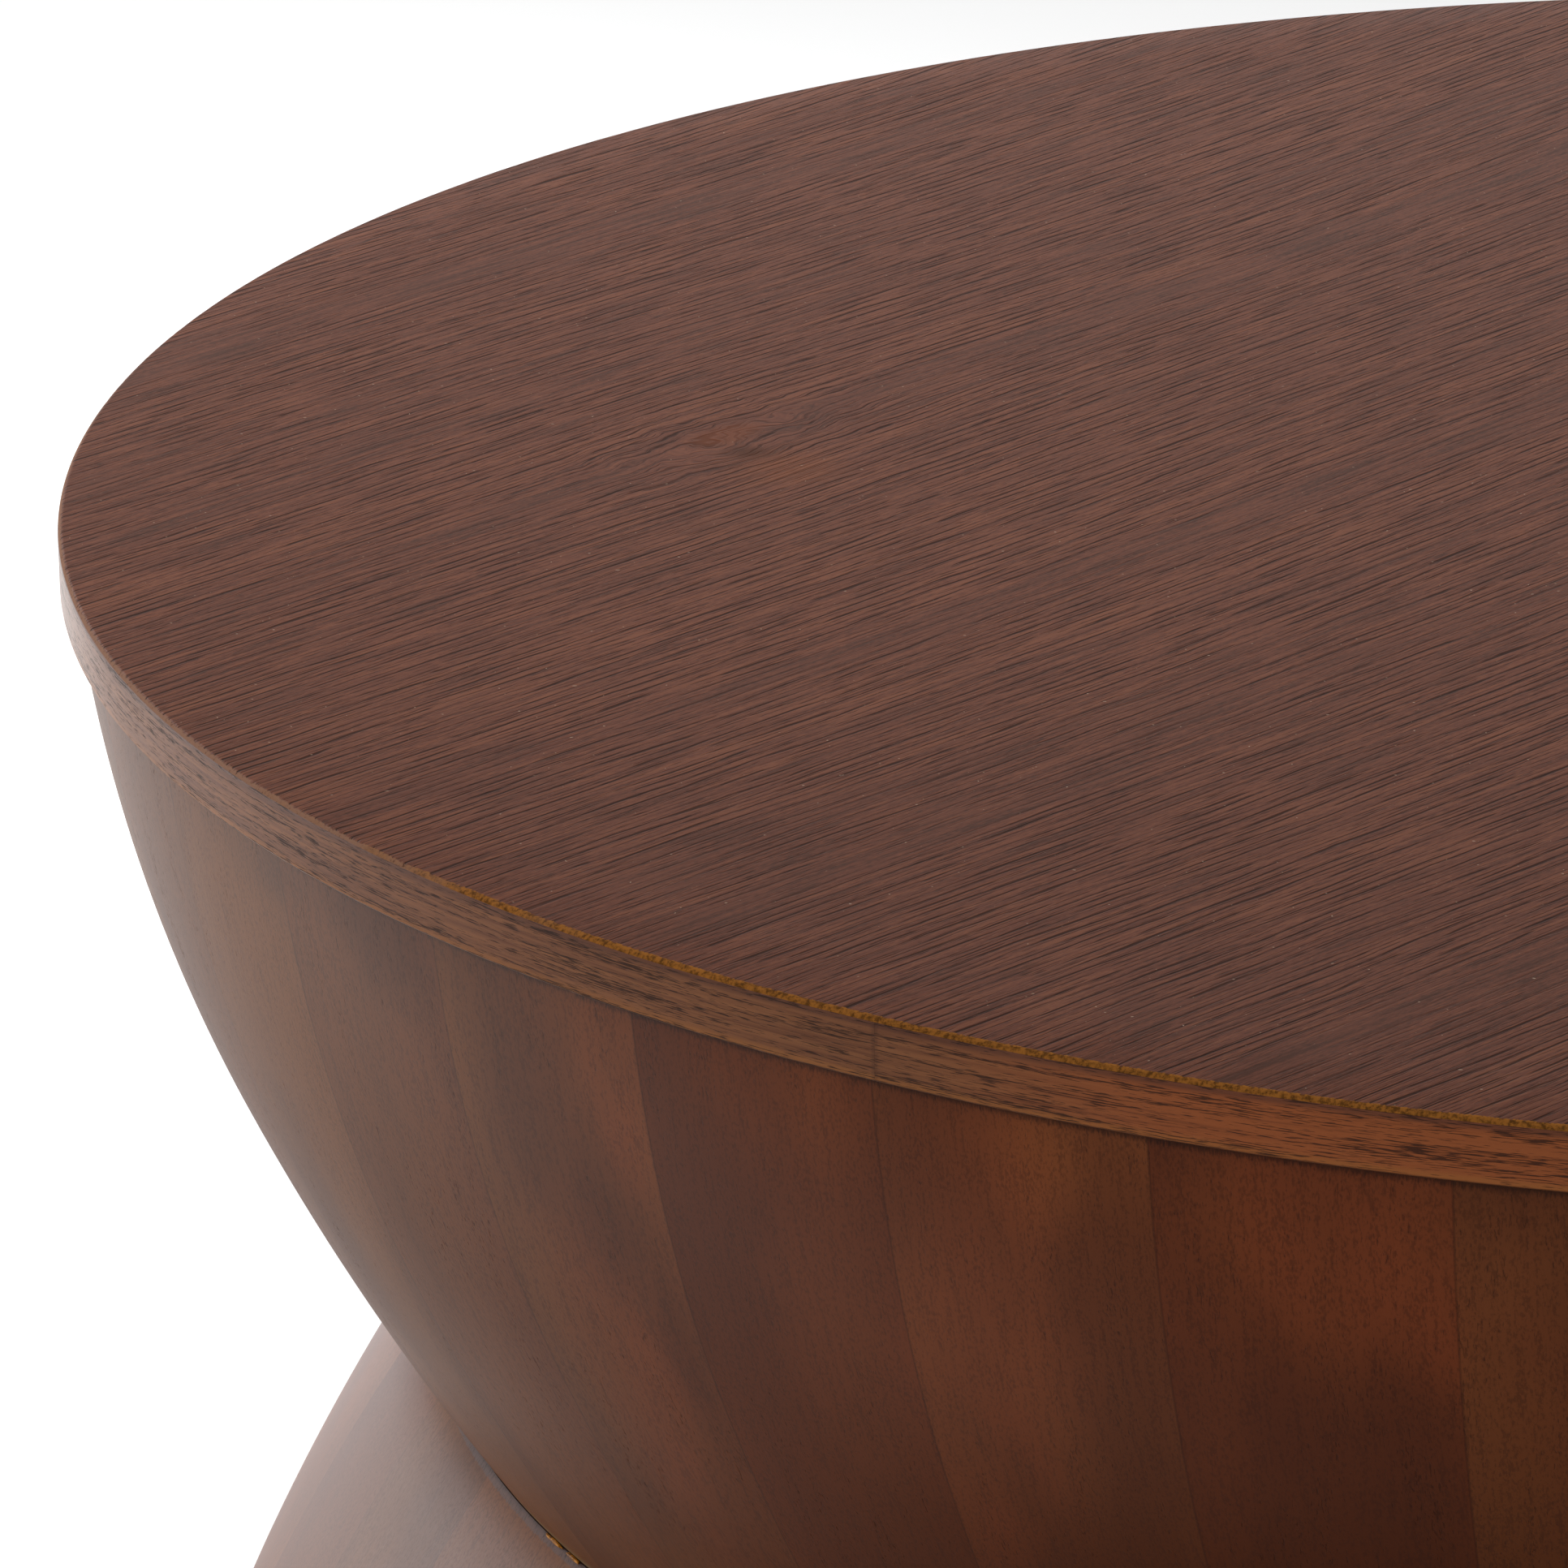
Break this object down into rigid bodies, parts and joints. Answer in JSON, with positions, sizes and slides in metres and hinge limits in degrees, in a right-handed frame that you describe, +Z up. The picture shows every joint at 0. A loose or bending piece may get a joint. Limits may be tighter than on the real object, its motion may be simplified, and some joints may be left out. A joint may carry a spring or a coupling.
{
  "type": "african drum table",
  "caption": "Low round drum-shaped table of staved wood: a bulging bowl stands on its mirror image, joined at a narrow waist, under a flat veneered top.",
  "frame": {"origin": "on the floor, under the middle of the table", "axes": "+Z up along the table's axis; the band's butt seam lies toward -Y, a little toward -X"},
  "size_m": [0.89, 0.8899, 0.406],
  "materials": {
    "top_veneer": "dark reddish-brown stained open-pored veneer, satin",
    "band_veneer": "dark reddish-brown stained strip, grain along the strip",
    "pale_stave": "brown stained stave, lighter than its neighbours, satin",
    "red_stave": "reddish-brown stained stave with a flame figure, satin",
    "olive_stave": "olive-brown stained stave, satin",
    "brown_stave": "dark brown stained stave, satin",
    "backing_veneer": "raw balancing veneer",
    "core_board": "raw board",
    "plywood": "raw plywood",
    "batten_wood": "raw planed hardwood",
    "dowel_wood": "raw turned beech",
    "zinc_steel": "bright zinc plate",
    "pad_felt": "dark brown pressed felt"
  },
  "bodies": {
    "root": {"face_veneer": "top_veneer", "edge_band": "band_veneer", "backing_veneer": "backing_veneer", "core_board": "core_board", "long_batten": "batten_wood", "cross_batten": "batten_wood", "upper_staves_pale": "pale_stave", "upper_staves_red": "red_stave", "upper_staves_olive": "olive_stave", "upper_staves_brown": "brown_stave", "lower_staves_pale": "pale_stave", "lower_staves_red": "red_stave", "lower_staves_olive": "olive_stave", "lower_staves_brown": "brown_stave", "rim_ring": "plywood", "rim_screws": "zinc_steel", "upper_waist_ring": "plywood", "lower_waist_ring": "plywood", "waist_dowels": "dowel_wood", "foot_ring": "plywood", "foot_pads": "pad_felt"}
  },
  "joints": []
}
